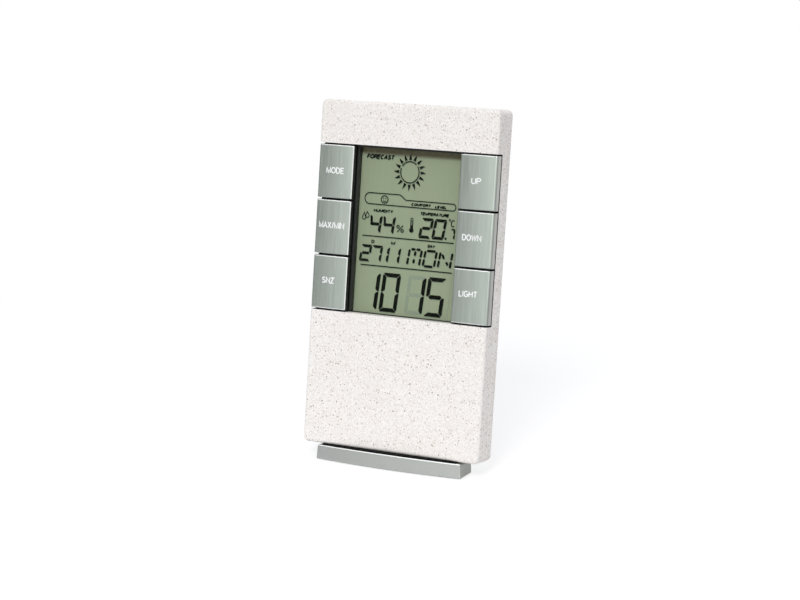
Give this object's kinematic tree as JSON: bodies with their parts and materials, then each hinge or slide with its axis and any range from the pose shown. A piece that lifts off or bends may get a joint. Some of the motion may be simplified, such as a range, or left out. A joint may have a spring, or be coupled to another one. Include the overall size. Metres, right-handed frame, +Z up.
{
  "type": "weather station",
  "caption": "Upright desk weather station: a slab body with a sunken display between two columns of keys, leaning back on a low foot.",
  "frame": {"origin": "centre of the footprint on the table", "axes": "+Z up, the display faces -Y, +X is to the right of someone facing the display"},
  "size_m": [0.0768, 0.0364, 0.1409],
  "materials": {
    "shell": "fine matt moulded plastic with plant-fibre speckles",
    "key": "satin silver paint on moulded plastic, fine vertical brushing",
    "foot": "satin silver paint on moulded plastic",
    "black_plastic": "black moulded plastic",
    "white_plastic": "white moulded plastic",
    "window": "clear polished acrylic",
    "lcd": "grey-green reflective liquid crystal display",
    "guide": "frosted acrylic",
    "led": "moulded light-emitting diode",
    "rubber": "black rubber",
    "board": "green solder mask on glass epoxy",
    "epoxy": "black epoxy",
    "can": "drawn metal can",
    "sleeve": "shrink sleeve",
    "cell": "plain blue wrapped cell",
    "contact": "nickel plated spring steel",
    "screw": "zinc plated steel"
  },
  "bodies": {
    "root": {"front_shell": "shell", "rear_shell": "shell", "key_carrier": "black_plastic", "display_window": "window", "lcd_glass": "lcd", "light_guide": "guide", "backlight_leds": "led", "zebra_strip": "rubber", "circuit_board": "board", "controller_chip": "epoxy", "crystal": "can", "capacitor": "sleeve", "resistors": "epoxy", "buzzer": "black_plastic", "humidity_sensor": "white_plastic", "temperature_sensor": "epoxy", "tact_switches": "black_plastic", "upper_battery": "cell", "lower_battery": "cell", "bridge_contact": "contact", "positive_contact": "contact", "negative_contact": "contact", "board_screws": "screw", "shell_screws": "screw", "foot_spacer": "black_plastic", "foot": "foot", "foot_screws": "screw", "foot_pads": "rubber"},
    "mode_button": {"mode_key": "key", "mode_plunger": "white_plastic"},
    "max_min_button": {"max_min_key": "key", "max_min_plunger": "white_plastic"},
    "snooze_button": {"snooze_key": "key", "snooze_plunger": "white_plastic"},
    "up_button": {"up_key": "key", "up_plunger": "white_plastic"},
    "down_button": {"down_key": "key", "down_plunger": "white_plastic"},
    "light_button": {"light_key": "key", "light_plunger": "white_plastic"},
    "door": {"battery_door": "shell"}
  },
  "joints": [
    {"name": "mode_press", "type": "slide", "parent": "root", "child": "mode_button", "axis": [0, 0.9914, -0.1305], "range_m": [0, 0.0005], "stiffness_N_per_m": 1500},
    {"name": "max_min_press", "type": "slide", "parent": "root", "child": "max_min_button", "axis": [0, 0.9914, -0.1305], "range_m": [0, 0.0005], "stiffness_N_per_m": 1500},
    {"name": "snooze_press", "type": "slide", "parent": "root", "child": "snooze_button", "axis": [0, 0.9914, -0.1305], "range_m": [0, 0.0005], "stiffness_N_per_m": 1500},
    {"name": "up_press", "type": "slide", "parent": "root", "child": "up_button", "axis": [0, 0.9914, -0.1305], "range_m": [0, 0.0005], "stiffness_N_per_m": 1500},
    {"name": "down_press", "type": "slide", "parent": "root", "child": "down_button", "axis": [0, 0.9914, -0.1305], "range_m": [0, 0.0005], "stiffness_N_per_m": 1500},
    {"name": "light_press", "type": "slide", "parent": "root", "child": "light_button", "axis": [0, 0.9914, -0.1305], "range_m": [0, 0.0005], "stiffness_N_per_m": 1500},
    {"name": "door_hinge", "type": "hinge", "parent": "root", "child": "door", "pos_m": [0, 0.00078, 0.01716], "axis": [-1, 0, 0], "range_deg": [0, 80]}
  ]
}
